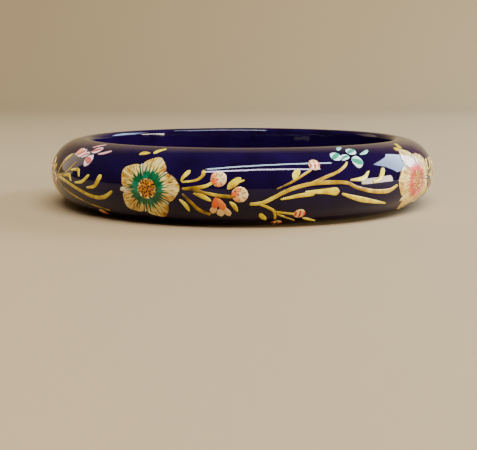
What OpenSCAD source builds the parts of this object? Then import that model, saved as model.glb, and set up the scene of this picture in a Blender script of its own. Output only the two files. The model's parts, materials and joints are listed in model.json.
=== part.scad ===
// Hand-painted lacquered bangle: a moulded ring, its coats, and the flowers and sprays painted on it.
// The ring lies flat on z = 0 with its bore along Z. A place on the band is [azimuth, climb]: azimuth in
// degrees round the bore from the front (-Y) towards +X, climb in degrees up the round outer face.

/* [Ring] */
// Inside diameter of the finished bore
bore_d = 63.5; // [54:0.5:72]
// Height of the band along the bore, which is also the width of its round outer face
band_h = 13.5; // [11:0.25:17]
// Width of the flat land on which the ring rests, top and bottom
land_w = 0.5; // [0.3:0.1:2]
// Radius of the two rounded inner corners
corner_r = 1.0; // [0.7:0.1:1.6]

/* [Coats] */
// Thickness of the last clear lacquer, over everything
finish_t = 0.25; // [0.15:0.05:0.4]
// Thickness of the painting, and of the clear lacquer levelled between its strokes
paint_t = 0.16; // [0.12:0.02:0.24]
// Thickness of a stroke laid into the top of other paint
overpaint_t = 0.08; // [0.05:0.01:0.1]
// Thickness of the indigo ground coat
ground_t = 0.25; // [0.15:0.05:0.4]
// Thickness of the chalk and glue primer
primer_t = 0.5; // [0.3:0.1:0.8]

/* [Flowers] */
// Reach of a flower from its middle to the tip of a petal
flower_r = 6.4; // [5.2:0.1:7.6]
// Radius of the round end of a petal
lobe_r = 2.45; // [2:0.05:3]
// Radius of the dotted disc in the middle of a flower
disc_r = 2.1; // [1.5:0.1:2.6]
// Angle left bare between two petals, in degrees
petal_gap = 7; // [5:0.5:12]
// Width of the pale rib painted in the gap between two petals
rib_w = 0.2; // [0.12:0.02:0.3]
// Length of the coloured throat strokes, outwards from the disc
throat_len = 2.2; // [1.4:0.1:2.8]
// Number of throat strokes on a petal
throat_n = 5; // [3:1:7]
// Number of seed dots on a disc
seed_n = 14; // [8:1:20]
// Diameter of a seed dot
seed_d = 0.42; // [0.3:0.02:0.5]

/* [Sprays] */
// Scale of the width of every stem and leaf
brush_w = 1.0; // [0.8:0.05:1.3]
// Radius of a round bud
bud_r = 1.55; // [1.1:0.05:1.9]
// Clear gap left round a bud or petal where a stem ends on it
stem_gap = 0.05; // [0.03:0.01:0.15]

/* [Hidden] */
arc_r = band_h / 2;
arc_c = bore_d / 2 + corner_r + land_w;
outer_r = arc_c + arc_r;
mid_z = band_h / 2;
over_floor = finish_t + overpaint_t;
paint_floor = finish_t + paint_t;
ground_floor = paint_floor + ground_t;
primer_floor = ground_floor + primer_t;
// Rounding that every inner coat keeps at its corners, and how far a prism runs past the face it cuts
least_corner = 0.3;
knife = 1;

// Flowers, hand-spaced, so that no two gaps are quite alike: azimuth, size, turn of the first petal
flower_az = [-24.5, 56, 126.4, 198, 268.5];
flower_size = [1, 1.15, 1, 1.1, 1];
flower_turn = [4, 36, 4, 36, 10];
flower_n = len(flower_az);
petal_n = 5;
petal_span = 360 / petal_n;
petal_half = (petal_span - petal_gap) / 2;
petal_steps = 6;
petal_wave = 0.12;
lobe_c = flower_r - lobe_r - petal_wave;
waves = 12;
flower_span = 30;
golden_angle = 137.5;
throat_reach = [0.75, 1, 0.85];
throat_root = disc_r / 2;
throat_shoulder = disc_r + throat_len / 3;

// A bud spray right of each flower: strokes as lists of [degrees past the flower, climb, width]
spray_stem = [
    [[9.4, 12, 0.5], [12.9, 15, 0.6], [14.6, 22, 0.9], [14.9, 31, 1.4]],
    [[9.9, 2, 0.5], [12, 3, 0.9], [15.5, 7, 0.8], [17.6, 14, 0.7]],
    [[12, 2, 0.6], [15.5, -3, 0.7], [22.4, -8, 0.9]],
    [[10, -7, 0.5], [11.5, -17, 0.8], [13.8, -32, 1], [16.4, -40, 1.1]]
];
spray_leaf = [
    [[9.3, 15, 0.5], [10.4, 24, 1.1]],
    [[20.9, 3, 0.6], [23.2, 17, 1.2]],
    [[12.4, -4, 0.4], [16.2, -13, 0.9]],
    [[8.8, -14, 0.4], [10.7, -29, 0.9]],
    [[21.4, -16, 0.4], [23, -29, 0.9]],
    [[-4.9, 57, 0.9], [-3.2, 59, 1.1]],
    [[-0.6, 60, 0.6], [1, 74, 1.3]]
];
// Round buds of the spray as [degrees, climb], and a kite-shaped one as its four corners
spray_bud = [[18.7, 18], [23.9, -5]];
kite_bud = [[18.2, -9], [16, -34], [20.1, -48], [21.5, -39]];

// The branch on to the next flower, in one of two hands, over branch_len degrees from its joint
small_bud = 0.75;
branch_at = 26.3;
branch_end = 10.5;
branch_len = 43;
rising = [
    [[0, -20, 0.9], [3, -18, 0.9], [5.5, -11, 0.8], [8, -3, 0.8], [11, 4, 0.8], [15, 9, 0.85],
     [20, 10, 0.9], [25, 8, 0.8], [28, 0, 0.8], [33.5, -8, 1], [39, -10, 1.1], [42.6, -3, 0.9]],
    [[15, 9, 0.8], [19, 18, 0.8], [22.5, 25, 0.7], [25.4, 35, 0.7], [26.4, 42, 0.6]],
    [[2.4, -20, 0.7], [4.6, -26, 0.8], [6.2, -34, 0.7], [6.8, -52, 0.6]],
    [[6.2, -34, 0.7], [11.6, -40, 0.7]],
    [[6.9, -38, 0.5], [12.3, -58, 0.6]],
    [[6.5, 3, 0.3], [10.4, 13, 0.5], [15.6, 31, 0.6]]
];
rising_leaf = [
    [[10.9, 17, 0.6], [11.8, 27, 1.4]],
    [[7.5, -13, 0.4], [12, -8, 0.7], [15.4, -6, 1]],
    [[13.6, -3, 0.5], [19, -3, 1.1], [22, -4, 2]],
    [[23.5, -8, 0.5], [30, -20, 1.1], [38.6, -31, 0.5]],
    [[26, 12, 0.4], [30, 13, 0.9], [31.8, 21, 0.6]],
    [[33, 6, 0.5], [35.6, 10, 0.8], [37.8, 25, 1.3]],
    [[14.2, -50, 0.5], [18, -62, 0.7]],
    [[2.6, -37, 0.6], [4, -49, 1.1]]
];
rising_bud = [[16.7, 39], [12.9, -40], [7.6, -66]];
sagging = [
    [[0, 2, 0.9], [10, -2, 0.9], [20, -11, 0.9], [30, -21, 1], [37, -20, 1], [42.4, -8, 0.9]],
    [[0, 2, 0.7], [7, 6, 0.7], [13, 14, 0.6], [18, 32, 0.6]],
    [[1.5, -3, 0.8], [12.7, -22, 0.7], [26.8, -38, 0.7], [36.7, -47, 0.8]],
    [[2, 4, 0.5], [3.5, 14, 0.5], [6, 28, 0.7]]
];
sagging_leaf = [
    [[6.2, 30, 0.7], [9, 40, 1.2]],
    [[15.5, 17, 0.4], [21.2, 19, 0.6], [22.4, 12, 0.9]],
    [[19.7, -2, 0.3], [25, 1, 0.4], [28.7, 11, 0.8]],
    [[28, -7, 0.3], [33, -3, 0.5], [35.8, 12, 1.4]],
    [[9, 5, 0.4], [14.5, 8, 0.6], [16, 2, 0.8]]
];
sagging_bud = [[30, -58], [14, 52]];
hand = [0, 1, 0, 1, 1];

// The blossom at the head of a branch: petals as strokes of three widths, in degrees from its middle
blossom_at = [[26.6, 50], [21, 46]];
blossom_petal = [
    [[-3.4, 2, 1.6], [-2, 4, 2.3]],
    [[2.2, -7, 1.9], [4.2, -10, 2.6]],
    [[2.6, 10, 1.2], [4.4, 15, 1.8]]
];
blossom_leaf = [
    [[5.6, 5, 0.5], [9.2, 12, 1]],
    [[-0.6, 19, 0.6], [1.8, 32, 1.2]]
];

// Sides of a round shape, of the whole ring, and of the straight-sided dabs of paint
$fn = 64;
ring_fn = 256;
disc_sides = 24;
bud_sides = 16;
seed_sides = 6;

// The half circle behind the round outer face, its arc moved in by depth d
module round_face(d) {
    translate([arc_c, 0]) difference() {
        rotate(180) circle(r = arc_r - d);
        translate([-arc_r, -arc_r]) square([arc_r, 2 * arc_r]);
    }
}

// Half of the ring's cross-section, all its faces moved in by depth d
module section(d) {
    r = max(corner_r - d, least_corner);
    low_x = bore_d / 2 + d;
    half_h = mid_z - d;
    round_face(d);
    translate([low_x + r, -half_h]) square([arc_c - low_x - r, 2 * half_h]);
    translate([low_x, r - half_h]) square([arc_c - low_x, 2 * (half_h - r)]);
    for (side = [-1, 1]) translate([low_x + r, side * (half_h - r)]) circle(r = r);
}

// A closed coat between two depths below the finished surface
module coat(from, to) {
    translate([0, 0, mid_z]) rotate_extrude($fn = ring_fn) difference() {
        section(from);
        section(to);
    }
}

// A stretch of the round outer face between two depths, from one azimuth to another, which strokes are cut from
module face_coat(from, to, az0, az1) {
    translate([0, 0, mid_z]) rotate([0, 0, az0 - 90])
        rotate_extrude(angle = az1 - az0, $fn = ring_fn) difference() {
            round_face(from);
            round_face(to);
        }
}

module flower_coat(i, to) {
    half = flower_span / 2;
    face_coat(finish_t, to, flower_az[i] - half, flower_az[i] + half);
}

module spray_coat(i) {
    face_coat(finish_t, paint_floor, flower_az[i] - branch_end, next_az(i));
}

// Flat children stood on the band as a prism, from the middle of the section out through the face
module on_band(az, climb) {
    rotate([0, 0, az]) translate([0, -arc_c, mid_z]) rotate([90 - climb, 0, 0])
        linear_extrude(arc_r + knife) children();
}

// A dab of paint, drawn with n straight sides
module dab(r, n) {
    polygon([for (j = [0 : n - 1]) r * [cos(j * 360 / n), sin(j * 360 / n)]]);
}

// One brush stroke between two places given as [azimuth, climb, width], with round ends
module stroke(a, b, grow) {
    mid = (a + b) / 2;
    dx = (b[0] - a[0]) * PI / 180 * (arc_c + arc_r * cos(mid[1]));
    dy = (b[1] - a[1]) * PI / 180 * arc_r;
    half = norm([dx, dy]) / 2;
    w0 = a[2] * brush_w + 2 * grow;
    w1 = b[2] * brush_w + 2 * grow;
    on_band(mid[0], mid[1]) rotate(atan2(dy, dx)) polygon([
        for (turn = [-90 : 45 : 90]) [half, 0] + w1 / 2 * [cos(turn), sin(turn)],
        for (turn = [90 : 45 : 270]) [-half, 0] + w0 / 2 * [cos(turn), sin(turn)]
    ]);
}

// Strokes through every place of each line, moved to start at an azimuth and stretched round the band
module brush(lines, az, stretch, grow = 0) {
    for (line = lines, j = [0 : len(line) - 2]) {
        a = line[j];
        b = line[j + 1];
        stroke([az + a[0] * stretch, a[1], a[2]], [az + b[0] * stretch, b[1], b[2]], grow);
    }
}

function next_az(i) = i + 1 < flower_n ? flower_az[i + 1] : flower_az[0] + 360;
function branch_az(i) = flower_az[i] + branch_at;
function branch_stretch(i) = (next_az(i) - branch_end - branch_az(i)) / branch_len;

// A place on the curved face, in millimetres along and up from a flower's middle, seen from the front of it
function flat(p) = [outer_r * sin(p[0] / outer_r * 180 / PI), arc_r * sin(p[1] / arc_r * 180 / PI)];
function turned(r, angle) = flat(r * [cos(angle), sin(angle)]);

// Reach of a petal at an angle off its own middle line: a round end with a slightly wavy edge
function petal_reach(off) =
    lobe_c * cos(off) + sqrt(max(0, lobe_r * lobe_r - pow(lobe_c * sin(off), 2)))
    + petal_wave * cos(off * waves);

module disc_shape() {
    dab(disc_r, disc_sides);
}

module petal_shapes(i) {
    difference() {
        for (k = [0 : petal_n - 1]) {
            mid = flower_turn[i] + k * petal_span;
            polygon([
                turned(throat_root, mid - petal_half), turned(throat_root, mid + petal_half),
                for (s = [petal_steps : -1 : -petal_steps])
                    let (off = s * petal_half / petal_steps)
                    turned(flower_size[i] * petal_reach(off), mid + off)
            ]);
        }
        disc_shape();
    }
}

module throat_shapes(i) {
    pitch = 2 * petal_half / throat_n;
    intersection() {
        petal_shapes(i);
        for (k = [0 : petal_n - 1], j = [0 : throat_n - 1]) {
            mid = flower_turn[i] + k * petal_span + (j - (throat_n - 1) / 2) * pitch;
            tip = disc_r + throat_len * throat_reach[j % len(throat_reach)];
            polygon([
                turned(throat_root, mid - pitch), turned(throat_shoulder, mid - pitch / 2),
                turned(tip, mid),
                turned(throat_shoulder, mid + pitch / 2), turned(throat_root, mid + pitch)
            ]);
        }
    }
}

module seed_shapes() {
    for (j = [0 : seed_n - 1])
        rotate(j * golden_angle)
            translate([(disc_r - seed_d) * sqrt((j + 0.5) / seed_n), 0]) dab(seed_d / 2, seed_sides);
}

module rib_shapes(i) {
    for (k = [0 : petal_n - 1]) {
        mid = flower_turn[i] + (k + 0.5) * petal_span;
        from = turned(disc_r + rib_w * 2, mid);
        to = turned(flower_size[i] * petal_reach(petal_half), mid);
        side = rib_w / 2 * [sin(mid), -cos(mid)];
        polygon([from - side / 2, from + side / 2, to + side, to - side]);
    }
}

module petals(i) {
    color("#dcc68c") difference() {
        intersection() {
            flower_coat(i, paint_floor);
            on_band(flower_az[i], 0) petal_shapes(i);
        }
        throat(i);
    }
}

module throat(i) {
    color(i % 2 == 0 ? "#0f6b4f" : "#c8452f") intersection() {
        flower_coat(i, over_floor);
        on_band(flower_az[i], 0) throat_shapes(i);
    }
}

module disc(i) {
    color("#d8a030") difference() {
        intersection() {
            flower_coat(i, paint_floor);
            on_band(flower_az[i], 0) disc_shape();
        }
        seeds(i);
    }
}

module seeds(i) {
    color("#2a1200") intersection() {
        flower_coat(i, over_floor);
        on_band(flower_az[i], 0) seed_shapes();
    }
}

module ribs(i) {
    color("#f0e6c8") intersection() {
        flower_coat(i, paint_floor);
        on_band(flower_az[i], 0) rib_shapes(i);
    }
}

// Prisms of a spray's parts, each grown by the gap that its neighbours leave round it
module flower_block(i) {
    on_band(flower_az[i], 0) {
        petal_shapes(i);
        dab(disc_r + throat_len, disc_sides);
    }
}

module bud_block(i, grow = 0) {
    for (bud = spray_bud) on_band(flower_az[i] + bud[0], bud[1]) dab(bud_r + grow, bud_sides);
    kite_mid = (kite_bud[0] + kite_bud[1] + kite_bud[2] + kite_bud[3]) / 4;
    on_band(flower_az[i] + kite_mid[0], kite_mid[1])
        polygon([for (c = kite_bud) let (p = (c - kite_mid) * PI / 180)
            (1 + grow / bud_r) * flat([p[0] * outer_r, p[1] * arc_r])]);
    for (bud = hand[i] == 0 ? rising_bud : sagging_bud)
        on_band(branch_az(i) + bud[0] * branch_stretch(i), bud[1]) dab(small_bud * bud_r + grow, bud_sides);
}

module blossom_block(i, grow = 0) {
    at = blossom_at[hand[i]];
    for (line = blossom_petal)
        stroke(
            [branch_az(i) + at[0] * branch_stretch(i) + line[0][0], at[1] + line[0][1], line[0][2] / brush_w],
            [branch_az(i) + at[0] * branch_stretch(i) + line[1][0], at[1] + line[1][1], line[1][2] / brush_w],
            grow
        );
}

module leaf_block(i, grow = 0) {
    brush(spray_leaf, flower_az[i], 1, grow);
    brush(hand[i] == 0 ? rising_leaf : sagging_leaf, branch_az(i), branch_stretch(i), grow);
    brush(blossom_leaf, branch_az(i) + blossom_at[hand[i]][0] * branch_stretch(i), 1, grow);
}

module stem_block(i) {
    brush(spray_stem, flower_az[i], 1);
    brush(hand[i] == 0 ? rising : sagging, branch_az(i), branch_stretch(i));
}

module buds(i) {
    color("#f0a070") intersection() {
        spray_coat(i);
        bud_block(i);
    }
}

module blossom(i) {
    color(i % 2 == 0 ? "#d8f0e0" : "#e08070") difference() {
        intersection() {
            spray_coat(i);
            blossom_block(i);
        }
        bud_block(i, stem_gap);
    }
}

module leaves(i) {
    color("#d2b428") difference() {
        intersection() {
            spray_coat(i);
            leaf_block(i);
        }
        flower_block(i);
        bud_block(i, stem_gap);
        blossom_block(i, stem_gap);
    }
}

module stems(i) {
    color("#c9a21a") difference() {
        intersection() {
            spray_coat(i);
            stem_block(i);
        }
        flower_block(i);
        flower_block((i + 1) % flower_n);
        bud_block(i, stem_gap);
        blossom_block(i, stem_gap);
        leaf_block(i, stem_gap);
    }
}

module core_ring() {
    color("#c8b08a") translate([0, 0, mid_z]) rotate_extrude($fn = ring_fn) section(primer_floor);
}

module primer_coat() {
    color("#e8e0d0") coat(ground_floor, primer_floor);
}

// The ground coat meets the finish lacquer in the bore and on the lands, and lies a painting's depth under it
// on the round outer face, where the strokes stand on it
module ground_coat() {
    color("#120c52") translate([0, 0, mid_z]) rotate_extrude($fn = ring_fn) difference() {
        section(finish_t);
        section(ground_floor);
        translate([arc_c, 0]) difference() {
            translate([0, -mid_z]) square([mid_z, 2 * mid_z]);
            rotate(180) circle(r = arc_r - paint_floor);
        }
    }
}

module finish_lacquer() {
    color("#c0c0ff", 0.2) coat(0, finish_t);
}

core_ring();
primer_coat();
ground_coat();
finish_lacquer();
for (i = [0 : flower_n - 1]) {
    petals(i);
    throat(i);
    disc(i);
    seeds(i);
    ribs(i);
    stems(i);
    leaves(i);
    buds(i);
    blossom(i);
}
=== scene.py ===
import json
import math
import random

import bmesh
import bpy
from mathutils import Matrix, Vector


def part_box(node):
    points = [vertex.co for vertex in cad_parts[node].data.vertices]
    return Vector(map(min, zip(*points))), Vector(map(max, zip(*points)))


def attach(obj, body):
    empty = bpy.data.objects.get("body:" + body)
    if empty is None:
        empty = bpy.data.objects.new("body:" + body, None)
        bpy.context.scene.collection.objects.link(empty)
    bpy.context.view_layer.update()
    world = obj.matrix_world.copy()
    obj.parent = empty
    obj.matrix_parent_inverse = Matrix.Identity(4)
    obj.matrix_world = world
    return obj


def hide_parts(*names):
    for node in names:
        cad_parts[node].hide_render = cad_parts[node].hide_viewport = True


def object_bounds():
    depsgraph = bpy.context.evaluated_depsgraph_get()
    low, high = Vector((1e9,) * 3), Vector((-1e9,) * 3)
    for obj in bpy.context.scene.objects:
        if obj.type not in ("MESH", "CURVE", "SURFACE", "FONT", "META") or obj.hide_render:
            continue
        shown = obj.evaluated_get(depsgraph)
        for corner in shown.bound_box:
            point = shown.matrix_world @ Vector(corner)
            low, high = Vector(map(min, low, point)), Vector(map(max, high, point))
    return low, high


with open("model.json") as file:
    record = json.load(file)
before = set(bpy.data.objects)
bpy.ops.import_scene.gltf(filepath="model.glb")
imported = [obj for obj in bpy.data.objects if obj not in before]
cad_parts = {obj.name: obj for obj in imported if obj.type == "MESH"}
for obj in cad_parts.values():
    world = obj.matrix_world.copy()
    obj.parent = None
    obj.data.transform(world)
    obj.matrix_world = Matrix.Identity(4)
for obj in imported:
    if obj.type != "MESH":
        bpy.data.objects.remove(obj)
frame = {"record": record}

# ---- camera: level with the side of the ring and a little above it, so that the far wall of the band shows
# ---- over the near one. It isn't part of the object.

CAD_LOW, CAD_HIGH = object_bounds()
RING_MID = (CAD_LOW + CAD_HIGH) / 2
VIEW_DISTANCE = 0.185
VIEW_ABOVE = math.radians(5.7)
AIM_DOWN = math.radians(9.5)
AIM_LEFT = math.radians(0.25)
LENS_MM = 65

camera = bpy.data.objects.new("camera", bpy.data.cameras.new("camera"))
camera.data.lens = LENS_MM
camera.data.sensor_width = 36
camera.data.clip_start = 0.01
camera.location = RING_MID + VIEW_DISTANCE * Vector((0, -math.cos(VIEW_ABOVE), math.sin(VIEW_ABOVE)))
camera.rotation_euler = (math.pi / 2 - AIM_DOWN, 0, AIM_LEFT)
bpy.context.collection.objects.link(camera)
bpy.context.scene.camera = camera

# ---- floor: a pale sweep of card, flat under the ring and turned up behind it, which isn't part of the object


def linear(hex_colour):
    """An sRGB colour such as "#d9cfbe" as the linear red, green, blue and alpha that a shader takes."""
    parts = [int(hex_colour[i : i + 2], 16) / 255 for i in (1, 3, 5)]
    return [p / 12.92 if p <= 0.04045 else ((p + 0.055) / 1.055) ** 2.4 for p in parts] + [1.0]


def add(tree, kind, settings=None, **links):
    """Adds a node to a tree. Links are keyed by input name, and each is a value or another node's output."""
    node = tree.nodes.new(kind)
    for key, value in (settings or {}).items():
        setattr(node, key, value)
    for key, value in links.items():
        wanted = key.replace("_", " ")
        socket = node.inputs[int(key[2:])] if key.startswith("in") and key[2:].isdigit() else node.inputs[wanted]
        if isinstance(value, bpy.types.NodeSocket):
            tree.links.new(value, socket)
        else:
            socket.default_value = value
    return node


def new_material(name, **shader_values):
    """A material with one Principled shader, whose even values are set on its own sockets."""
    material = bpy.data.materials.new(name)
    material.use_nodes = True
    shader = material.node_tree.nodes["Principled BSDF"]
    for key, value in shader_values.items():
        shader.inputs[key.replace("_", " ")].default_value = value
    return material, material.node_tree, shader


SWEEP_HALF = 1.6
SWEEP_BACK = 0.55
SWEEP_BEND = 0.3
SWEEP_TOP = 1.1

sweep_line = [(-SWEEP_HALF, 0), (SWEEP_BACK, 0)]
for step in range(1, 13):
    turn = step / 12 * math.pi / 2
    sweep_line.append((SWEEP_BACK + SWEEP_BEND * math.sin(turn), SWEEP_BEND * (1 - math.cos(turn))))
sweep_line.append((SWEEP_BACK + SWEEP_BEND, SWEEP_TOP))
sweep_mesh = bpy.data.meshes.new("sweep")
sweep_points = [(side * SWEEP_HALF, y, z) for y, z in sweep_line for side in (-1, 1)]
sweep_faces = [(2 * i, 2 * i + 1, 2 * i + 3, 2 * i + 2) for i in range(len(sweep_line) - 1)]
sweep_mesh.from_pydata(sweep_points, [], sweep_faces)
for polygon in sweep_mesh.polygons:
    polygon.use_smooth = True
sweep = bpy.data.objects.new("sweep", sweep_mesh)
bpy.context.collection.objects.link(sweep)
card, card_tree, card_shader = new_material("matt_card", Base_Color=linear("#a28a5e"), Roughness=0.85)
card_grain = add(card_tree, "ShaderNodeTexNoise", Scale=900.0, Detail=2.0)
card_bump = add(card_tree, "ShaderNodeBump", Strength=0.05, Height=card_grain.outputs["Fac"])
card_tree.links.new(card_bump.outputs["Normal"], card_shader.inputs["Normal"])
sweep_mesh.materials.append(card)

# ---- light: a window high on the right with the low sun beside it, two long tubes overhead in front, and a
# ---- large soft fill from behind on the left


def soft_light(name, place, aim, size, power, colour):
    """A rectangular soft light at a place, facing another, size (wide, high) in metres and power in watts."""
    lamp = bpy.data.lights.new(name, "AREA")
    lamp.shape = "RECTANGLE"
    lamp.size, lamp.size_y = size
    lamp.energy = power
    lamp.color = linear(colour)[:3]
    holder = bpy.data.objects.new(name, lamp)
    holder.location = place
    holder.rotation_euler = (Vector(aim) - Vector(place)).to_track_quat("-Z", "Y").to_euler()
    bpy.context.collection.objects.link(holder)


soft_light("tube_near", (0.14, -0.5, 0.78), (0, -0.03, 0), (0.95, 0.06), 13, "#f6e8ff")
soft_light("tube_far", (0.14, -0.27, 0.86), (0, -0.03, 0), (0.95, 0.055), 10, "#d8f2ff")
soft_light("window", (0.68, 0.34, 0.38), (0, 0, 0), (0.46, 0.36), 12, "#c4dcff")
soft_light("sun_patch", (0.72, -0.11, 0.05), (0, 0, 0), (0.3, 0.2), 9, "#fff0d0")
soft_light("fill", (-0.75, 0.8, 0.36), (0, 0, 0), (0.9, 0.6), 3, "#ffe6c4")

world = bpy.data.worlds.new("room")
world.use_nodes = True
world.node_tree.nodes["Background"].inputs["Color"].default_value = linear("#d8c4a0")
world.node_tree.nodes["Background"].inputs["Strength"].default_value = 0.16
bpy.context.scene.world = world

# ---- lacquered band: paper pulp pressed to shape, primed, painted indigo and lacquered until it shines.
# ---- It is one closed ring, so it turns its section round the bore. The paint that stands on it is under the
# ---- last lacquer too, so the plain face lies as far under the CAD face as a brush stroke is high.

MM = 0.001
RELIEF = 0.11 * MM
BORE = next(m for m in frame["record"]["mounts"] if m["kind"] == "bore")
BORE_R = BORE["dims"]["r_mm"] * MM
BAND_H = CAD_HIGH.z - CAD_LOW.z
CORNER_R = (BAND_H - BORE["dims"]["length_mm"] * MM) / 2
OUTER_R = (CAD_HIGH.x - CAD_LOW.x) / 2
ARC_R = BAND_H / 2
ARC_C = OUTER_R - ARC_R
FACE_R = ARC_R - RELIEF
FACE_EASE = 0.2
RING_STEPS = 360
FACE_STEPS = 72
CORNER_STEPS = 8


def band_section():
    """The section's outline as (distance from the bore axis, height), once round against the clock."""
    outline = []
    for step in range(FACE_STEPS + 1):
        climb = math.pi * (step / FACE_STEPS - 0.5)
        reach = ARC_R - RELIEF * min(1, math.cos(climb) / FACE_EASE)
        outline.append((ARC_C + reach * math.cos(climb), ARC_R + reach * math.sin(climb)))
    for quarter, corner_z in ((1, BAND_H - CORNER_R), (2, CORNER_R)):
        for step in range(CORNER_STEPS + 1):
            turn = math.pi / 2 * (quarter + step / CORNER_STEPS)
            outline.append(
                (BORE_R + CORNER_R + CORNER_R * math.cos(turn), corner_z + CORNER_R * math.sin(turn))
            )
    return outline


def turned_ring(name, outline, steps):
    """A closed ring that carries an outline round the bore axis."""
    points = []
    for i in range(steps):
        az = 2 * math.pi * i / steps
        points += [(r * math.sin(az), -r * math.cos(az), z) for r, z in outline]
    n = len(outline)
    faces = []
    for i in range(steps):
        a, b = i * n, (i + 1) % steps * n
        faces += [(a + j, b + j, b + (j + 1) % n, a + (j + 1) % n) for j in range(n)]
    mesh = bpy.data.meshes.new(name)
    mesh.from_pydata(points, [], faces)
    for polygon in mesh.polygons:
        polygon.use_smooth = True
    piece = bpy.data.objects.new(name, mesh)
    bpy.context.collection.objects.link(piece)
    return piece


def mix_colours(tree, amount, first, second):
    """The blend of two colours by an amount from 0 to 1."""
    return add(tree, "ShaderNodeMix", {"data_type": "RGBA"}, in0=amount, in6=first, in7=second).outputs[2]


# Gloss lacquer over indigo: a saturated dark base under a clear coat as smooth as glass. Many rubbed-down coats
# leave long shallow waves a few millimetres apart, which bend the edge of every reflection.
LACQUER_WAVE_MM = 4
LACQUER_WAVE_DEPTH_MM = 0.05
band_paint, band_tree, band_shader = new_material(
    "indigo_lacquer", Roughness=0.5, Specular_IOR_Level=0.0,
    Coat_Weight=1.0, Coat_Roughness=0.035, Coat_IOR=1.34,
)
spot = add(band_tree, "ShaderNodeTexCoord")
cloud = add(band_tree, "ShaderNodeTexNoise", Vector=spot.outputs["Object"], Scale=220.0, Detail=4.0)
tint = mix_colours(band_tree, cloud.outputs["Fac"], linear("#07010e"), linear("#170536"))
band_tree.links.new(tint, band_shader.inputs["Base Color"])
wave = add(
    band_tree, "ShaderNodeTexNoise",
    Vector=spot.outputs["Object"], Scale=1 / (LACQUER_WAVE_MM * MM), Detail=1.0,
)
wave_bump = add(
    band_tree, "ShaderNodeBump",
    Strength=0.6, Distance=LACQUER_WAVE_DEPTH_MM * MM, Height=wave.outputs["Fac"],
)
band_tree.links.new(wave_bump.outputs["Normal"], band_shader.inputs["Coat Normal"])

band = turned_ring("lacquered_band", band_section(), RING_STEPS)
band.data.materials.append(band_paint)
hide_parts("finish_lacquer", "ground_coat")
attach(band, "root")


# ---- petals: five to a flower, one loaded brush of cream paint each, pushed out from the middle, so that the
# ---- hairs leave fine streaks and the rim is the thickest. Ochre is brushed over while it is wet.

# Every stroke of the painting is laid on the band by one tree. A piece starts flat, in millimetres: x round the
# band, y up its round face and z out from it. Its loose edges are brush lines, as wide as "width" says.
OUTER_MM, ARC_MM = OUTER_R / MM, ARC_R / MM
LINE_STEP = 0.12
FOOT_Z = -0.05
STROKE_SIDES = 14
STROKE_FLATTER = 0.6


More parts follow.
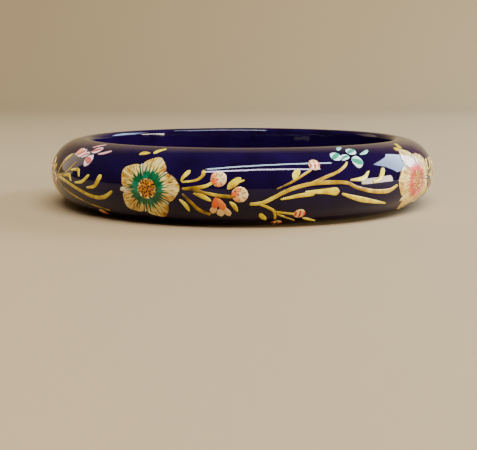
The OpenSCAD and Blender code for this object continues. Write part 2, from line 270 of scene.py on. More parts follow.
def paint_tree():
    """Brush lines become rounded ribbons of paint, all else stays as drawn, and the whole is wrapped on the band."""
    tree = bpy.data.node_groups.new("paint_on_band", "GeometryNodeTree")
    sizes = {
        "Ring radius": ARC_C / MM, "Face radius": FACE_R / MM, "Round radius": ARC_MM, "Across radius": OUTER_MM,
        "Step": LINE_STEP, "Paint height": 0.08, "Unit": MM,
    }

    def calc(operation, *values, **settings):
        inputs = {f"in{i}": value for i, value in enumerate(values)}
        return add(tree, "ShaderNodeMath", {"operation": operation, **settings}, **inputs).outputs[0]

    def mark(name):
        return add(tree, "GeometryNodeInputNamedAttribute", {"data_type": "FLOAT"}, in0=name).outputs[0]

    def placed():
        return add(tree, "ShaderNodeSeparateXYZ", in0=add(tree, "GeometryNodeInputPosition").outputs[0]).outputs

    tree.interface.new_socket("Drawing", in_out="INPUT", socket_type="NodeSocketGeometry")
    for name, value in sizes.items():
        tree.interface.new_socket(name, in_out="INPUT", socket_type="NodeSocketFloat").default_value = value
    tree.interface.new_socket("Paint", in_out="INPUT", socket_type="NodeSocketMaterial")
    tree.interface.new_socket("Painting", in_out="OUTPUT", socket_type="NodeSocketGeometry")
    given = add(tree, "NodeGroupInput").outputs

    # brush lines: smooth curves in even steps, with round ends
    faces_by = add(tree, "GeometryNodeInputMeshEdgeNeighbors").outputs[0]
    is_line = add(
        tree, "FunctionNodeCompare", {"data_type": "INT", "operation": "EQUAL"}, in2=faces_by, in3=0
    )
    parts = add(
        tree, "GeometryNodeSeparateGeometry", {"domain": "EDGE"}, in0=given["Drawing"], in1=is_line.outputs[0]
    )
    lines = add(tree, "GeometryNodeMeshToCurve", in0=parts.outputs[0])
    curved = add(tree, "GeometryNodeCurveSplineType", {"spline_type": "CATMULL_ROM"}, in0=lines.outputs[0])
    even = add(tree, "GeometryNodeResampleCurve", {"mode": "LENGTH"}, in0=curved.outputs[0], in3=given["Step"])
    flat_on = add(tree, "GeometryNodeSetCurveNormal", {"mode": "Z_UP"}, in0=even.outputs[0])
    spline = add(tree, "GeometryNodeSplineParameter").outputs
    marked = add(
        tree, "GeometryNodeStoreNamedAttribute", {"data_type": "FLOAT", "domain": "POINT"},
        in0=flat_on.outputs[0], in2="along", in3=spline["Factor"],
    )
    total = add(tree, "GeometryNodeSplineLength").outputs[0]
    left = calc("SUBTRACT", total, spline["Length"])
    to_end = calc("MINIMUM", left, spline["Length"])
    half = calc("MULTIPLY", mark("width"), 0.5)
    in_end = calc("DIVIDE", to_end, half, use_clamp=True)
    short = calc("SUBTRACT", 1.0, in_end)
    rest = calc("SUBTRACT", 1.02, calc("MULTIPLY", short, short))
    scale = calc("MULTIPLY", half, calc("SQRT", rest))

    # the section of a stroke: a circle, its upper half the dome and its lower half the sunk flat foot
    circle = add(tree, "GeometryNodeCurvePrimitiveCircle", {"mode": "RADIUS"}, in0=STROKE_SIDES, in4=1.0)
    where = placed()
    across = add(
        tree, "GeometryNodeStoreNamedAttribute", {"data_type": "FLOAT", "domain": "POINT"},
        in0=circle.outputs[0], in2="across", in3=where["X"],
    )
    domed = add(
        tree, "GeometryNodeStoreNamedAttribute", {"data_type": "FLOAT", "domain": "POINT"},
        in0=across.outputs[0], in2="dome", in3=where["Y"],
    )
    ribbon = add(
        tree, "GeometryNodeCurveToMesh", in0=marked.outputs[0], in1=domed.outputs[0], in2=scale, in3=True
    )
    dome = mark("dome")
    flatter = calc("POWER", calc("MAXIMUM", dome, 0.0), STROKE_FLATTER)
    raised = calc("MULTIPLY_ADD", flatter, given["Paint height"], mark("lift"))
    is_foot = add(
        tree, "FunctionNodeCompare", {"data_type": "FLOAT", "operation": "LESS_THAN"}, in0=dome, in1=-0.01
    )
    height = add(
        tree, "GeometryNodeSwitch", {"input_type": "FLOAT"}, in0=is_foot.outputs[0], in1=raised, in2=FOOT_Z
    )
    lain = placed()
    flat_place = add(tree, "ShaderNodeCombineXYZ", in0=lain["X"], in1=lain["Y"], in2=height.outputs[0])
    laid = add(tree, "GeometryNodeSetPosition", in0=ribbon.outputs[0], in2=flat_place.outputs[0])
    both = add(tree, "GeometryNodeJoinGeometry")
    tree.links.new(parts.outputs[1], both.inputs[0])
    tree.links.new(laid.outputs[0], both.inputs[0])

    # wrap: x turns round the bore axis, y climbs the round face, z goes out from it
    flat = placed()
    az = calc("DIVIDE", flat["X"], given["Across radius"])
    climb = calc("DIVIDE", flat["Y"], given["Round radius"])
    out = calc("ADD", given["Face radius"], flat["Z"])
    far = calc("MULTIPLY_ADD", out, calc("COSINE", climb), given["Ring radius"])
    up = calc("MULTIPLY_ADD", out, calc("SINE", climb), given["Round radius"])
    x = calc("MULTIPLY", far, calc("SINE", az))
    y = calc("MULTIPLY", calc("MULTIPLY", far, calc("COSINE", az)), -1.0)
    place = add(tree, "ShaderNodeCombineXYZ", in0=x, in1=y, in2=up)
    metres = add(tree, "ShaderNodeVectorMath", {"operation": "SCALE"}, in0=place.outputs[0], in3=given["Unit"])
    wrapped = add(tree, "GeometryNodeSetPosition", in0=both.outputs[0], in2=metres.outputs[0])
    smooth = add(tree, "GeometryNodeSetShadeSmooth", in0=wrapped.outputs[0], in2=True)
    real = add(tree, "GeometryNodeRealizeInstances", in0=smooth.outputs[0])
    painted = add(tree, "GeometryNodeSetMaterial", in0=real.outputs[0], in2=given["Paint"])
    add(tree, "NodeGroupOutput", in0=painted.outputs[0])
    return tree


PAINT_TREE = paint_tree()
MARKS = ("width", "lift", "along", "across", "tone")


def new_drawing():
    """An empty flat drawing: points with their marks, brush-line edges and filled faces."""
    return {"points": [], "edges": [], "faces": [], **{mark: [] for mark in MARKS}}


def mark_point(drawing, point, **marks):
    drawing["points"].append(point)
    for mark in MARKS:
        drawing[mark].append(marks.get(mark, 0.0))


def brush_line(drawing, path, tone, lift=0.0):
    """A brush line through (x, y, width) in millimetres."""
    first = len(drawing["points"])
    for x, y, width in path:
        mark_point(drawing, (x, y, 0), width=width, lift=lift, tone=tone)
    drawing["edges"] += [(first + i, first + i + 1) for i in range(len(path) - 1)]


def filled_grid(drawing, rows, tone):
    """A closed slab of paint from rows of (x, y, height, along, across), with a sunk flat foot under it."""
    first, wide, deep = len(drawing["points"]), len(rows[0]), len(rows)
    for is_foot in (False, True):
        for row in rows:
            for x, y, height, along, across in row:
                point = (x, y, FOOT_Z if is_foot else height)
                mark_point(drawing, point, along=along, across=across, tone=tone)
    under = wide * deep
    at = lambda r, c: first + r * wide + c
    for r in range(deep - 1):
        for c in range(wide - 1):
            square = (at(r, c), at(r, c + 1), at(r + 1, c + 1), at(r + 1, c))
            drawing["faces"] += [square, tuple(i + under for i in reversed(square))]
    rim = [at(0, c) for c in range(wide)] + [at(r, wide - 1) for r in range(1, deep)]
    rim += [at(deep - 1, c) for c in range(wide - 2, -1, -1)] + [at(r, 0) for r in range(deep - 2, 0, -1)]
    for a, b in zip(rim, rim[1:] + rim[:1]):
        drawing["faces"].append((b, a, a + under, b + under))


def lay_paint(name, drawing, paint, height, slot, *nodes):
    """Wraps a drawing on the band as one piece of paint, and hands it over to the frame."""
    mesh = bpy.data.meshes.new(name + "_flat")
    mesh.from_pydata(drawing["points"], drawing["edges"], drawing["faces"])
    for mark in MARKS:
        mesh.attributes.new(mark, "FLOAT", "POINT").data.foreach_set("value", drawing[mark])
    sketch = bpy.data.objects.new(name + "_flat", mesh)
    bpy.context.collection.objects.link(sketch)
    modifier = sketch.modifiers.new("paint", "NODES")
    modifier.node_group = PAINT_TREE
    inputs = [item for item in PAINT_TREE.interface.items_tree if item.in_out == "INPUT"]
    sockets = {item.name: item.identifier for item in inputs}
    modifier[sockets["Paint height"]] = height
    modifier[sockets["Paint"]] = paint
    shown = sketch.evaluated_get(bpy.context.evaluated_depsgraph_get())
    piece = bpy.data.objects.new(name, bpy.data.meshes.new_from_object(shown))
    bpy.data.objects.remove(sketch)
    bpy.context.collection.objects.link(piece)
    solid = bmesh.new()
    solid.from_mesh(piece.data)
    bmesh.ops.recalc_face_normals(solid, faces=solid.faces)
    solid.to_mesh(piece.data)
    solid.free()
    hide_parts(*nodes)
    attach(piece, "root")


def degrees(az, climb):
    """A place given in degrees round the band and up its face, in flat millimetres."""
    return math.radians(az) * OUTER_MM, math.radians(climb) * ARC_MM


FLOWER_COUNT = 5
PETAL_COUNT = 5
PETAL_SPAN = 360 / PETAL_COUNT
PETAL_HALF = 32
FLOWER_R, LOBE_R, DISC_R = 6.4, 2.45, 2.1
PETAL_WAVE = 0.14
PETAL_WAVES = 12
PETAL_HEIGHT = 0.07
PETAL_ROOT = DISC_R * 0.7
ROWS_OUT = 20
ROWS_ACROSS = 12
RIM_WIDTH = 0.3
FLOWER_SIZE = (1, 1.15, 1, 1.1, 1)
FLOWER_TURN = (4, 36, 4, 36, 10)
FLOWER_AZ = []
for number in range(FLOWER_COUNT):
    low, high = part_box(f"flower_{number + 1}_disc")
    mid = (low + high) / 2
    FLOWER_AZ.append(math.degrees(math.atan2(mid.x, -mid.y)))


def petal_reach(off):
    """How far a petal reaches from the flower's middle, at an angle in degrees off its own middle line."""
    lobe_c = FLOWER_R - LOBE_R - PETAL_WAVE
    side = lobe_c * math.sin(math.radians(off))
    round_end = lobe_c * math.cos(math.radians(off)) + math.sqrt(max(0, LOBE_R**2 - side**2))
    return round_end + PETAL_WAVE * math.cos(math.radians(off * PETAL_WAVES))


def around(centre, r, angle, width):
    """A brush place at a distance and an angle in degrees from a middle."""
    return centre[0] + r * math.cos(math.radians(angle)), centre[1] + r * math.sin(math.radians(angle)), width


def petal_rows(centre, turn, size):
    """One petal as rows of points outwards, raised except at its rim."""
    rows = []
    for r_step in range(ROWS_OUT + 1):
        row = []
        for a_step in range(-ROWS_ACROSS, ROWS_ACROSS + 1):
            off = PETAL_HALF * math.sin(a_step / ROWS_ACROSS * math.pi / 2)
            tip = size * petal_reach(off)
            along = math.sin(r_step / ROWS_OUT * math.pi / 2)
            r = PETAL_ROOT + (tip - PETAL_ROOT) * along
            to_side = r * math.sin(math.radians(PETAL_HALF - abs(off)))
            to_rim = min(tip - r, to_side, RIM_WIDTH) / RIM_WIDTH
            height = PETAL_HEIGHT * math.sqrt(1 - (1 - to_rim) ** 2)
            angle = math.radians(turn + off)
            row.append(
                (centre[0] + r * math.cos(angle), centre[1] + r * math.sin(angle), height, r, off / PETAL_HALF)
            )
        rows.append(row)
    return rows


INK = "#1c0b02"
INK_TONE = 2
STREAK_DEPTH_MM = 0.02


def brushed_paint(name, stops, by_tone=0.0, streaks=9.0, **shader_values):
    """Paint streaked along its stroke, its colour also led by the tone. A tone of INK_TONE is dark ink."""
    paint, tree, shader = new_material(
        name, Specular_IOR_Level=0.1, Coat_Weight=1.0, Coat_IOR=1.4, Coat_Roughness=0.04, **shader_values
    )
    across, along, tone = [
        add(tree, "ShaderNodeAttribute", {"attribute_name": mark}).outputs["Fac"]
        for mark in ("across", "along", "tone")
    ]
    hairs = add(tree, "ShaderNodeCombineXYZ", X=across, Y=along, Z=tone)
    spread = add(tree, "ShaderNodeMapping", in0=hairs.outputs[0], in3=(streaks, 0.7, 40.0))
    streak = add(
        tree, "ShaderNodeTexNoise", in0=spread.outputs[0], Scale=1.0, Detail=3.0, Roughness=0.6
    )
    spot = add(tree, "ShaderNodeTexCoord").outputs["Object"]
    patch = add(tree, "ShaderNodeTexNoise", Vector=spot, Scale=0.5 / MM, Detail=1.0)
    blended = add(
        tree, "ShaderNodeMix", {"data_type": "FLOAT"}, in0=0.4, in2=streak.outputs["Fac"], in3=patch.outputs["Fac"]
    )
    led = add(tree, "ShaderNodeMix", {"data_type": "FLOAT"}, in0=by_tone, in2=blended.outputs[0], in3=tone)
    ramp = add(tree, "ShaderNodeValToRGB", in0=led.outputs[0])
    elements = ramp.color_ramp.elements
    while len(elements) < len(stops):
        elements.new(0.5)
    for element, (position, colour) in zip(elements, stops):
        element.position = position
        element.color = linear(colour)
    is_ink = add(tree, "ShaderNodeMath", {"operation": "GREATER_THAN"}, in0=tone, in1=INK_TONE - 0.5)
    inked = mix_colours(tree, is_ink.outputs[0], ramp.outputs[0], linear(INK))
    tree.links.new(inked, shader.inputs["Base Color"])
    relief = add(
        tree, "ShaderNodeBump", Strength=0.5, Distance=STREAK_DEPTH_MM * MM, Height=streak.outputs["Fac"]
    )
    tree.links.new(relief.outputs["Normal"], shader.inputs["Normal"])
    return paint


# Cream tempera, warm and streaked by the hairs, with ochre where the brush went back over it
cream_paint = brushed_paint(
    "cream_tempera", [(0.34, "#84480a"), (0.42, "#c48c28"), (0.5, "#dcbe58"), (0.64, "#f6e490")], Roughness=0.5
)
HATCH_COUNT = 11
HATCH_MM = 0.13
HATCH_SPAN = 0.85
HATCH_FROM = (1.5, 2.6)
HATCH_TO = (0.84, 0.97)
LINE_MM = 0.18
LINE_SPAN = 0.94
LINE_PARTS = 10
PETAL_LINE_HEIGHT = 0.03

dice = random.Random(11)
for number in range(FLOWER_COUNT):
    petals = new_drawing()
    centre = degrees(FLOWER_AZ[number], 0)
    size = FLOWER_SIZE[number]
    for k in range(PETAL_COUNT):
        turn = FLOWER_TURN[number] + k * PETAL_SPAN
        filled_grid(petals, petal_rows(centre, turn, size), tone=dice.random())
        edge = []
        for step in range(-LINE_PARTS, LINE_PARTS + 1):
            off = PETAL_HALF * LINE_SPAN * step / LINE_PARTS
            edge.append(around(centre, size * petal_reach(off) - LINE_MM * 0.6, turn + off, LINE_MM))
        brush_line(petals, edge, tone=INK_TONE, lift=PETAL_HEIGHT * 0.4)
        for h in range(HATCH_COUNT):
            off = PETAL_HALF * HATCH_SPAN * (2 * h / (HATCH_COUNT - 1) - 1) + dice.uniform(-2, 2)
            tip = size * petal_reach(off)
            start = DISC_R + dice.uniform(*HATCH_FROM)
            end = tip * dice.uniform(*HATCH_TO)
            brush_line(
                petals,
                [around(centre, start, turn + off, 0.04), around(centre, end, turn + off * 1.04, HATCH_MM)],
                tone=INK_TONE, lift=PETAL_HEIGHT * 0.8,
            )
    lay_paint(
        f"petals_{number + 1}", petals, cream_paint, PETAL_LINE_HEIGHT,
        "petal_cream", f"flower_{number + 1}_petals",
    )

# ---- throat: tapering hairs of green or red pulled outwards from the disc over each petal, one flick of a fine
# ---- brush at a time, dark at the root and bright at the tip where the paint runs thin.

THROAT_LEN = 2.9
THROAT_SPAN = 0.46
THROAT_HEIGHT = 0.03
HAIRS = 13
SHORT_HAIR = 0.65
green_paint = brushed_paint(
    "green_tempera", [(0.3, "#022a14"), (0.48, "#04552a"), (0.6, "#087850"), (0.75, "#30a888")], Roughness=0.45
)
red_paint = brushed_paint(
    "red_tempera", [(0.3, "#7a1408"), (0.5, "#c23a20"), (0.62, "#e06048"), (0.75, "#f8b098")], Roughness=0.45
)
for number in range(FLOWER_COUNT):
    throat = new_drawing()
    centre = degrees(FLOWER_AZ[number], 0)
    for k in range(PETAL_COUNT):
        for h in range(HAIRS):
            off = PETAL_SPAN * THROAT_SPAN * (2 * h / (HAIRS - 1) - 1)
            angle = FLOWER_TURN[number] + k * PETAL_SPAN + off + dice.uniform(-2, 2)
            reach = DISC_R + THROAT_LEN * dice.uniform(0.6, 1.0) * (SHORT_HAIR if h % 2 else 1)
            hair = [
                around(centre, DISC_R * 0.85, angle, 0.5),
                around(centre, DISC_R + 0.6, angle, 0.42),
                around(centre, reach, angle + dice.uniform(-2, 2), 0.07),
            ]
            brush_line(throat, hair, tone=dice.random(), lift=PETAL_HEIGHT * 0.8)
    is_green = number % 2 == 0
    lay_paint(
        f"throat_{number + 1}", throat, green_paint if is_green else red_paint, THROAT_HEIGHT,
        "green_paint" if is_green else "red_paint", f"flower_{number + 1}_throat",
    )

# ---- disc: a round dab of thick amber paint in the middle of each flower, domed as it dried and dappled by the
# ---- tip of the brush.

DISC_STEPS = 16
DISC_HEIGHT = 0.07
DISC_LINE_HEIGHT = 0.02
DAPPLE_WAVES = 9
DAPPLE_DEPTH = 0.02


def round_rows(centre, radius, height, dapple=0.0):
    """A domed round dab as a square grid pressed into a circle."""
    rows = []
    for i in range(DISC_STEPS + 1):
        row = []
        for j in range(DISC_STEPS + 1):
            u, v = 2 * j / DISC_STEPS - 1, 2 * i / DISC_STEPS - 1
            x, y = u * math.sqrt(1 - v * v / 2), v * math.sqrt(1 - u * u / 2)
            r = math.hypot(x, y)
            dome = height * math.sqrt(max(0, 1 - r**4))
            wave = math.sin(DAPPLE_WAVES * x) * math.cos(DAPPLE_WAVES * y)
            z = dome - dapple * (0.5 + 0.5 * wave) * (1 - r)
            row.append((centre[0] + radius * x, centre[1] + radius * y, z, v, u))
        rows.append(row)
    return rows


amber_paint = brushed_paint(
    "amber_tempera", [(0.32, "#8a4400"), (0.5, "#d68a08"), (0.7, "#f4b820")], streaks=3.0, Roughness=0.45
)
for number in range(FLOWER_COUNT):
    disc = new_drawing()
    centre = degrees(FLOWER_AZ[number], 0)
    filled_grid(disc, round_rows(centre, DISC_R, DISC_HEIGHT, DAPPLE_DEPTH), tone=dice.random())
    lay_paint(f"disc_{number + 1}", disc, amber_paint, DISC_LINE_HEIGHT, "amber_paint", f"flower_{number + 1}_disc")

# ---- seeds: short dark brown dashes and dots, touched on to the disc with the point of a fine brush and left
# ---- proud of it.

SEED_COUNT = 38
SEED_LEN = 0.5
SEED_WIDTH = 0.34
SEED_LIFT = 0.055
SEED_HEIGHT = 0.04
GOLDEN_ANGLE = 137.5
seed_paint = brushed_paint("umber_ink", [(0.3, "#180a02"), (0.55, "#341a06"), (0.8, "#5c3410")], Roughness=0.4)
for number in range(FLOWER_COUNT):
    seeds = new_drawing()
    centre = degrees(FLOWER_AZ[number], 0)
    for j in range(SEED_COUNT):
        r = (DISC_R - 0.15) * math.sqrt((j + 0.5) / SEED_COUNT)
        angle = j * GOLDEN_ANGLE + dice.uniform(-8, 8)
        x, y, _ = around(centre, r, angle, 0)
        lean = math.radians(angle + dice.uniform(-50, 50))
        dx, dy = SEED_LEN / 2 * math.cos(lean), SEED_LEN / 2 * math.sin(lean)
        brush_line(
            seeds, [(x - dx, y - dy, SEED_WIDTH), (x + dx, y + dy, SEED_WIDTH * dice.uniform(0.4, 1))],
            tone=dice.random(), lift=SEED_LIFT,
        )
    lay_paint(f"seeds_{number + 1}", seeds, seed_paint, SEED_HEIGHT, "brown_paint", f"flower_{number + 1}_seeds")

# ---- ribs: ivory strokes between the petals, from the disc outwards, and one wider sepal at the back of the
# ---- flower, which lift it off the dark ground.

RIB_WIDTH = 0.3
RIB_HEIGHT = 0.07
SEPAL = 2
SEPAL_WIDER = 2.6
SEPAL_LONGER = 0.9
ivory_paint = brushed_paint(
    "ivory_tempera", [(0.3, "#b09858"), (0.5, "#e8d8a0"), (0.7, "#fff4d0")], Roughness=0.45
)
for number in range(FLOWER_COUNT):
    ribs = new_drawing()
    centre = degrees(FLOWER_AZ[number], 0)
    for k in range(PETAL_COUNT):
        angle = FLOWER_TURN[number] + (k + 0.5) * PETAL_SPAN
        tip = FLOWER_SIZE[number] * petal_reach(PETAL_HALF) + (SEPAL_LONGER if k == SEPAL else 0.1)
        wide = RIB_WIDTH * (SEPAL_WIDER if k == SEPAL else 1)
        path = [
            around(centre, DISC_R + 0.3, angle, RIB_WIDTH * 0.5),
            around(centre, (DISC_R + tip) / 2, angle + 1, wide * 0.8),
            around(centre, tip - 0.3, angle, wide),
            around(centre, tip, angle - 1, wide * 0.5),
        ]
        brush_line(ribs, path, tone=dice.random(), lift=PETAL_HEIGHT * 0.2)
    lay_paint(f"ribs_{number + 1}", ribs, ivory_paint, RIB_HEIGHT, "ivory_paint", f"flower_{number + 1}_ribs")

# ---- stems: gold ochre lines run with a loaded pointed brush, swelling where it was pressed. Each flower has a
# ---- bud spray on its right and a branch on to the next flower, in one of two hands, rising or sagging.

SPRAY_STEMS = [
    [(9.4, 12, 0.4), (12.9, 15, 0.5), (14.6, 22, 0.7), (14.9, 31, 1.1)],
    [(9.6, 2, 0.4), (12, 3, 0.8), (15.5, 7, 0.7), (17.6, 14, 0.6)],
    [(9.6, 3, 0.3), (12, 2, 0.6), (15.5, -3, 0.6), (19, -7, 0.7), (22.4, -8, 0.7)],
    [(9.6, -5, 0.4), (11.5, -17, 0.7), (13.8, -32, 0.8), (16.4, -40, 0.9)],
]
RISING_STEMS = [
    [
        (0, -20, 0.7), (3, -18, 0.8), (5.5, -11, 0.8), (8, -3, 0.8), (11, 4, 0.8), (15, 9, 0.8), (20, 10, 0.85),
        (25, 8, 0.75), (28, 0, 0.75), (33.5, -8, 0.9), (39, -10, 1.0), (42.6, -3, 0.6),
    ],
    [(15, 9, 0.7), (19, 18, 0.7), (22.5, 25, 0.6), (25.4, 35, 0.6), (26.4, 42, 0.4)],
    [(2.4, -20, 0.6), (4.6, -26, 0.6), (6.2, -34, 0.6), (6.8, -52, 0.5)],
    [(6.2, -34, 0.5), (11.6, -40, 0.6)],
    [(6.9, -38, 0.4), (12.3, -58, 0.5)],
    [(6.5, 3, 0.25), (10.4, 13, 0.45), (15.6, 31, 0.5)],
]
SAGGING_STEMS = [
    [(0, 2, 0.8), (10, -2, 0.8), (20, -11, 0.8), (30, -21, 0.9), (37, -20, 0.9), (42.4, -8, 0.6)],
    [(0, 2, 0.6), (7, 6, 0.6), (13, 14, 0.55), (18, 32, 0.5)],
    [(1.5, -3, 0.7), (12.7, -22, 0.6), (26.8, -38, 0.6), (36.7, -47, 0.6)],
    [(2, 4, 0.45), (3.5, 14, 0.45), (6, 28, 0.6)],
]
STEM_WIDTH = 0.85
STEM_HEIGHT = 0.075
IS_SAGGING = (False, True, False, True, True)
BRANCH_AT = 26.3
BRANCH_END = 10.5
BRANCH_LEN = 43
BRANCHES = []
for number in range(FLOWER_COUNT):
    after = FLOWER_AZ[(number + 1) % FLOWER_COUNT]
    gap = (after - FLOWER_AZ[number]) % 360
    BRANCHES.append((FLOWER_AZ[number] + BRANCH_AT, (gap - BRANCH_END - BRANCH_AT) / BRANCH_LEN))


def set_lines(lines, az, stretch=1.0):
    """Lines given in degrees past a place round the band, as flat millimetres with their widths."""
    return [[(*degrees(az + a * stretch, climb), width) for a, climb, width in line] for line in lines]


gold_paint = brushed_paint(
    "gold_ochre_tempera", [(0.34, "#4c3000"), (0.44, "#a07c00"), (0.52, "#caa604"), (0.62, "#eeda38")], Roughness=0.45
)
for number in range(FLOWER_COUNT):
    stems = new_drawing()
    branch, stretch = BRANCHES[number]
    drawn = set_lines(SPRAY_STEMS, FLOWER_AZ[number])
    drawn += set_lines(SAGGING_STEMS if IS_SAGGING[number] else RISING_STEMS, branch, stretch)
    for line in drawn:
        brush_line(stems, [(x, y, w * STEM_WIDTH) for x, y, w in line], tone=dice.random())
    lay_paint(f"stems_{number + 1}", stems, gold_paint, STEM_HEIGHT, "gold_paint", f"spray_{number + 1}_stems")

# ---- leaves: single yellow strokes, begun thin at the stem, pressed to the full width of the brush and
# ---- lifted to a point.

SPRAY_LEAVES = [
    [(9.3, 13, 0.25), (9.7, 19, 0.6), (10.9, 27, 0.8)],
    [(20.9, 3, 0.4), (21.9, 9, 1.2), (23.6, 17, 1.0)],
    [(21.6, 8, 0.3), (22.8, 12, 0.5), (24.4, 15, 0.4)],
    [(12.4, -4, 0.3), (14.6, -8, 0.8), (16.2, -13, 0.6)],
    [(8.8, -14, 0.3), (10.1, -22, 0.8), (10.7, -30, 0.6)],
    [(21.4, -16, 0.3), (22.4, -22, 0.8), (23, -29, 0.6)],
    [(-4.9, 56, 0.5), (-4.2, 60, 1.1), (-2.6, 61, 0.7)],
    [(-0.6, 60, 0.5), (-0.2, 67, 1.1), (1.2, 75, 0.8)],
]
RISING_LEAVES = [
    [(10.9, 15, 0.4), (11.2, 22, 1.1), (12, 29, 1.0)],
    [(7.5, -13, 0.3), (12, -8, 0.7), (15.4, -6, 0.7)],
    [(13.6, -3, 0.4), (19, -3, 1.0), (22, -4, 1.4)],
    [(23.5, -8, 0.4), (30, -20, 1.0), (38.6, -31, 0.4)],
    [(26, 12, 0.3), (30, 13, 0.8), (31.8, 21, 0.5)],
    [(33, 6, 0.4), (35.6, 10, 0.8), (37.4, 23, 1.0)],
    [(14.2, -50, 0.4), (16, -56, 0.8), (18, -62, 0.5)],
    [(2.6, -37, 0.4), (3.2, -43, 1.0), (4, -50, 0.8)],
]
SAGGING_LEAVES = [
    [(6.2, 30, 0.5), (7.8, 35, 1.1), (9, 41, 0.8)],
    [(15.5, 17, 0.3), (21.2, 19, 0.7), (22.4, 12, 0.6)],
    [(19.7, -2, 0.3), (25, 1, 0.6), (28.7, 11, 0.6)],
    [(28, -7, 0.3), (33, -3, 0.7), (35.8, 12, 1.0)],
    [(9, 5, 0.3), (14.5, 8, 0.8), (16, 2, 0.6)],
]
POINT_MM = 0.55
POINT_WIDTH = 0.1
LEAF_HEIGHT = 0.085


def leaf_stroke(line):
    """A leaf's line carried on past its last place to a point."""
    (x0, y0, _), (x1, y1, width) = line[-2:]
    ahead = POINT_MM / math.hypot(x1 - x0, y1 - y0)
    return line + [(x1 + (x1 - x0) * ahead, y1 + (y1 - y0) * ahead, POINT_WIDTH)]


yellow_paint = brushed_paint(
    "yellow_tempera", [(0.32, "#806000"), (0.43, "#cca800"), (0.52, "#ead214"), (0.64, "#faf070")], Roughness=0.45
)
for number in range(FLOWER_COUNT):
    leaves = new_drawing()
    branch, stretch = BRANCHES[number]
    drawn = set_lines(SPRAY_LEAVES, FLOWER_AZ[number])
    drawn += set_lines(SAGGING_LEAVES if IS_SAGGING[number] else RISING_LEAVES, branch, stretch)
    for line in drawn:
        brush_line(leaves, leaf_stroke(line), tone=dice.random())
    lay_paint(
        f"leaves_{number + 1}", leaves, yellow_paint, LEAF_HEIGHT, "yellow_paint", f"spray_{number + 1}_leaves"
    )

# ---- buds: round half-open buds, dabbed petal by petal in cream and salmon over a cream round with a red heart,
# ---- a kite-shaped one hanging under them, and smaller striped ones on the branch.

ROUND_BUDS = [(18.7, 18, 205), (23.9, -5, 170)]
KITE_PETALS = [
    [(18.0, -24, 0.6), (17.2, -31, 1.2), (16.9, -37, 0.7)],
    [(19.0, -28, 0.8), (19.0, -37, 1.4), (19.2, -43, 0.9)],
    [(20.0, -26, 0.6), (20.8, -35, 1.2), (21.2, -42, 0.7)],
    [(18.1, -9, 0.4), (17.9, -18, 1.1), (17.5, -27, 1.1)],
    [(18.5, -11, 0.4), (19.4, -21, 1.2), (20.0, -30, 1.1)],
]
KITE_TONES = (0.2, 0.08, 0.16, 0.5, 0.42)
SMALL_BUDS = {False: [(16.7, 39), (12.9, -40), (7.6, -66)], True: [(30, -58), (14, 52)]}
BUD_R = 1.5
SMALL_BUD_R = 1.1
BUD_PETALS = 6
BUD_HEIGHT = 0.06
BUD_GROUND = 0.045
BUD_LIFT = 0.035
FOLD_LIFT = 0.045
HEART_LIFT = 0.04
bud_paint = brushed_paint(
    "salmon_and_cream_tempera",
    [(0.12, "#f8e2a0"), (0.32, "#f4b058"), (0.5, "#ea6414"), (0.8, "#c4180c")], by_tone=0.8, Roughness=0.45,
)


def open_bud(drawing, centre, radius, warm_side):
    """A round bud: a cream ground, petals warmer towards one side, and a red heart."""
    filled_grid(drawing, round_rows(centre, radius * 0.92, BUD_GROUND), tone=0.1)
    for k in range(BUD_PETALS):
        angle = warm_side + k * 360 / BUD_PETALS
        warmth = 0.5 + 0.5 * math.cos(math.radians(k * 360 / BUD_PETALS))
        petal = [
            around(centre, radius * 0.3, angle - 14, radius * 0.25),
            around(centre, radius * 0.66, angle, radius * 0.55),
            around(centre, radius * 0.8, angle + 30, radius * 0.3),
        ]
        brush_line(drawing, petal, tone=0.06 + 0.48 * warmth * dice.uniform(0.8, 1.1), lift=BUD_LIFT)
        fold = [around(centre, radius * 0.35, angle - 30, 0.06), around(centre, radius * 0.86, angle - 26, 0.13)]
        brush_line(drawing, fold, tone=INK_TONE, lift=FOLD_LIFT)
    x, y, _ = around(centre, radius * 0.18, warm_side, 0)
    heart = [(x - 0.2, y - 0.1, radius * 0.32), (x + 0.25, y + 0.1, radius * 0.26)]
    brush_line(drawing, heart, tone=0.66, lift=HEART_LIFT)


def striped_bud(drawing, centre, radius):
    """A small closed bud: cream with red stripes."""
    filled_grid(drawing, round_rows(centre, radius, BUD_GROUND), tone=0.15)
    for k, tone in enumerate((0.8, 0.1, 0.85, 0.12, 0.7)):
        side = (k - 2) / 2 * radius * 0.72
        reach = math.sqrt(radius**2 - side**2) * 0.8
        x, y = centre[0] + side, centre[1]
        stripe = [(x, y - reach, 0.22), (x + 0.1, y, 0.4), (x, y + reach, 0.2)]
        brush_line(drawing, stripe, tone=tone, lift=BUD_LIFT)


for number in range(FLOWER_COUNT):
    buds = new_drawing()
    branch, stretch = BRANCHES[number]
    for az, climb, warm_side in ROUND_BUDS:
        open_bud(buds, degrees(FLOWER_AZ[number] + az, climb), BUD_R, warm_side)
    for line, tone in zip(set_lines(KITE_PETALS, FLOWER_AZ[number]), KITE_TONES):
        brush_line(buds, line, tone=tone, lift=0.05 * tone)
    for az, climb in SMALL_BUDS[IS_SAGGING[number]]:
        striped_bud(buds, degrees(branch + az * stretch, climb), SMALL_BUD_R)
    lay_paint(f"buds_{number + 1}", buds, bud_paint, BUD_HEIGHT, "bud_paint", f"spray_{number + 1}_buds")

# ---- blossom: the open flower at the head of a branch, in broad pale dabs with a darker stroke inside each, mint
# ---- and teal on a rising branch, blush and coral on a sagging one, and two slim leaves.

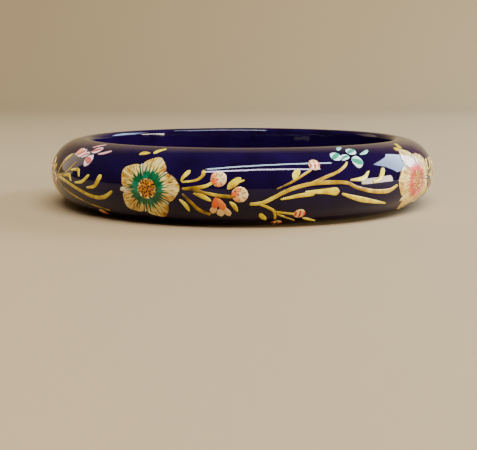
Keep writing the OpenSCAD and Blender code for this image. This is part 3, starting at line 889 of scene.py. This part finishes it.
BLOSSOM_AT = {False: (26.6, 50), True: (21, 46)}
BLOSSOM_PETALS = [
    [(-4.2, -2, 1.4), (-3.0, 3, 2.2), (-1.4, 9, 1.8)],
    [(1.6, -5, 1.8), (3.3, -9, 2.9), (4.8, -12, 2.4)],
    [(1.8, 9, 1.2), (3.4, 14, 2.0), (5.2, 18, 1.5)],
    [(-1.6, -4, 0.8), (-0.2, 1, 1.3), (1.4, 3, 1.0)],
]
BLOSSOM_LEAVES = [
    [(5.6, 5, 0.3), (7.6, 8, 0.7), (9.4, 13, 0.6)],
    [(-0.6, 19, 0.3), (0.6, 26, 0.9), (2, 33, 0.7)],
]
BLOSSOM_HEIGHT = 0.055
INNER = 0.42
INNER_LIFT = 0.05
mint_paint = brushed_paint(
    "mint_and_teal_tempera", [(0.1, "#f0fff4"), (0.35, "#b4ecd0"), (0.6, "#38b488"), (0.85, "#0c7a58")],
    by_tone=0.8, Roughness=0.45,
)
coral_paint = brushed_paint(
    "blush_and_coral_tempera", [(0.1, "#fff0e4"), (0.35, "#f8c8b4"), (0.6, "#e87464"), (0.85, "#b83434")],
    by_tone=0.8, Roughness=0.45,
)
for number in range(FLOWER_COUNT):
    blossom = new_drawing()
    sagging = IS_SAGGING[number]
    branch, stretch = BRANCHES[number]
    az, climb = BLOSSOM_AT[sagging]
    lifted = [[(a, c + climb, w) for a, c, w in line] for line in BLOSSOM_PETALS + BLOSSOM_LEAVES]
    drawn = set_lines(lifted, branch + az * stretch)
    for line in drawn[: len(BLOSSOM_PETALS)]:
        brush_line(blossom, line, tone=0.08 + 0.1 * dice.random())
        brush_line(blossom, [(x, y, w * INNER) for x, y, w in line], tone=0.85, lift=INNER_LIFT)
    for line in drawn[len(BLOSSOM_PETALS) :]:
        brush_line(blossom, leaf_stroke(line), tone=0.45)
    lay_paint(
        f"blossom_{number + 1}", blossom, coral_paint if sagging else mint_paint, BLOSSOM_HEIGHT,
        "coral_paint" if sagging else "mint_paint", f"spray_{number + 1}_blossom",
    )

# ---- inside: the pulp core and the chalk primer over it are closed in by the paint, and keep their own look for
# ---- when a coat is taken off.

pulp, pulp_tree, pulp_shader = new_material("pressed_paper_pulp", Roughness=0.9)
pulp_spot = add(pulp_tree, "ShaderNodeTexCoord").outputs["Object"]
fibre = add(pulp_tree, "ShaderNodeTexNoise", Vector=pulp_spot, Scale=1.2 / MM, Detail=5.0, Distortion=1.5)
pulp_tint = mix_colours(pulp_tree, fibre.outputs["Fac"], linear("#8a7350"), linear("#d8c6a0"))
pulp_tree.links.new(pulp_tint, pulp_shader.inputs["Base Color"])
chalk, chalk_tree, chalk_shader = new_material("chalk_and_glue_primer", Roughness=0.8)
chalk_spot = add(chalk_tree, "ShaderNodeTexCoord").outputs["Object"]
powder = add(chalk_tree, "ShaderNodeTexNoise", Vector=chalk_spot, Scale=3 / MM, Detail=3.0)
chalk_tint = mix_colours(chalk_tree, powder.outputs["Fac"], linear("#cfc6b4"), linear("#f4eee2"))
chalk_tree.links.new(chalk_tint, chalk_shader.inputs["Base Color"])
for node, material in (("core_ring", pulp), ("primer_coat", chalk)):
    mesh = bpy.data.objects[node].data
    mesh.materials.clear()
    mesh.materials.append(material)
